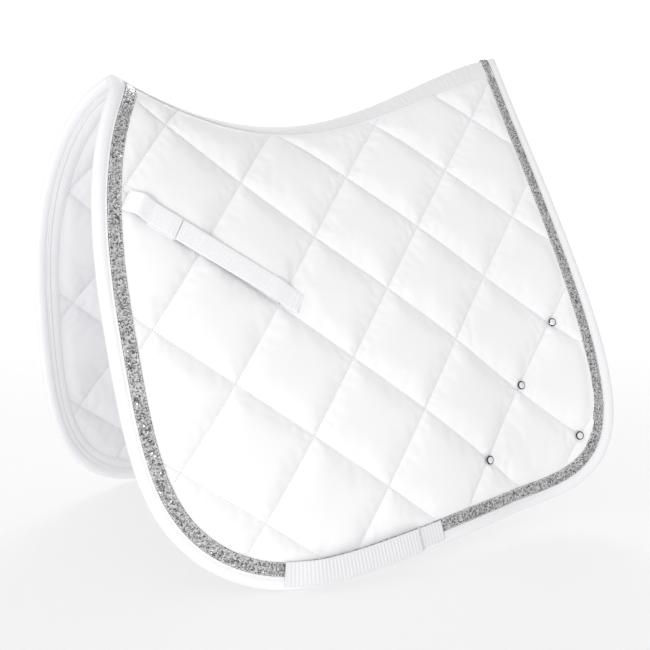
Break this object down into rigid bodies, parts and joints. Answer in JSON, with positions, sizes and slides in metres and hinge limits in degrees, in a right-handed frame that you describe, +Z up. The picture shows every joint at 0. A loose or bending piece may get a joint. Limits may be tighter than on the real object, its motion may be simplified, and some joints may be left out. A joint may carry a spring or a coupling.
{
  "type": "saddle pad",
  "caption": "Quilted dressage saddle pad with bound edge, glitter band, webbing girth loops, billet straps with hook-and-loop tabs and round crystals.",
  "frame": {"origin": "lowest point of the spine line on the outer surface, in the middle plane, where the horse carries the pad", "axes": "+X from the withers to the loins, +Z up, -Y towards the near side"},
  "size_m": [0.6312, 0.4818, 0.5875],
  "materials": {
    "shell_fabric": "smooth white satin-finish cotton twill, quilted in large diamonds",
    "lining_fabric": "soft pale grey-white cotton lining",
    "foam": "foam and wadding filling inside the quilting",
    "binding": "white folded binding tape",
    "glitter": "silver glitter band with fine sparkle",
    "spine_tape": "white gathered tape",
    "webbing": "white ribbed webbing",
    "hook_and_loop": "white hook-and-loop tape",
    "crystal": "faceted clear crystal with mirror back",
    "setting_metal": "polished metal"
  },
  "bodies": {
    "saddle_area": {"binding_front_top": "binding", "binding_rear_top": "binding", "glitter_front_top": "glitter", "glitter_rear_top": "glitter", "near_shell_top": "shell_fabric", "near_foam_top": "foam", "near_lining_top": "lining_fabric", "far_shell_top": "shell_fabric", "far_foam_top": "foam", "far_lining_top": "lining_fabric", "spine_tape_outer": "spine_tape", "spine_tape_inner": "spine_tape"},
    "near_flap": {"near_shell_flap": "shell_fabric", "near_foam_flap": "foam", "near_lining_flap": "lining_fabric", "near_binding_flap": "binding", "near_glitter_flap": "glitter", "near_girth_loop": "webbing", "near_crystals": "crystal", "near_crystal_settings": "setting_metal", "near_crystal_backs": "setting_metal"},
    "near_strap_tab": {"near_strap_tab_webbing": "webbing", "near_hook_patch": "hook_and_loop"},
    "near_billet_strap": {"near_billet_strap_webbing": "webbing", "near_loop_patch": "hook_and_loop"},
    "far_flap": {"far_shell_flap": "shell_fabric", "far_foam_flap": "foam", "far_lining_flap": "lining_fabric", "far_binding_flap": "binding", "far_glitter_flap": "glitter", "far_girth_loop": "webbing", "far_crystals": "crystal", "far_crystal_settings": "setting_metal", "far_crystal_backs": "setting_metal"},
    "far_strap_tab": {"far_strap_tab_webbing": "webbing", "far_hook_patch": "hook_and_loop"},
    "far_billet_strap": {"far_billet_strap_webbing": "webbing", "far_loop_patch": "hook_and_loop"}
  },
  "joints": [
    {"name": "near_flap_bend", "type": "hinge", "parent": "saddle_area", "child": "near_flap", "pos_m": [0.05, -0.07, -0.045], "axis": [1, 0, 0], "range_deg": [-18, 20], "stiffness_Nm_per_rad": 8},
    {"name": "near_tab_peel", "type": "hinge", "parent": "near_flap", "child": "near_strap_tab", "pos_m": [-0.2129, -0.1001, -0.0833], "axis": [-0.5404, -0.2978, -0.7869], "range_deg": [0, 140]},
    {"name": "near_strap_lift", "type": "hinge", "parent": "near_flap", "child": "near_billet_strap", "pos_m": [-0.0337, -0.1356, -0.1961], "axis": [0.5648, 0.3327, 0.7552], "range_deg": [0, 15]},
    {"name": "far_flap_bend", "type": "hinge", "parent": "saddle_area", "child": "far_flap", "pos_m": [0.05, 0.07, -0.045], "axis": [-1, 0, 0], "range_deg": [-18, 20], "stiffness_Nm_per_rad": 8},
    {"name": "far_tab_peel", "type": "hinge", "parent": "far_flap", "child": "far_strap_tab", "pos_m": [-0.2129, 0.1001, -0.0833], "axis": [0.5404, -0.2978, 0.7869], "range_deg": [0, 140]},
    {"name": "far_strap_lift", "type": "hinge", "parent": "far_flap", "child": "far_billet_strap", "pos_m": [-0.0337, 0.1356, -0.1961], "axis": [-0.5648, 0.3327, -0.7552], "range_deg": [0, 15]}
  ],
  "couplings": [
    {"joint": "near_strap_lift", "follows": "near_tab_peel", "ratio": 0.1},
    {"joint": "far_strap_lift", "follows": "far_tab_peel", "ratio": 0.1}
  ]
}
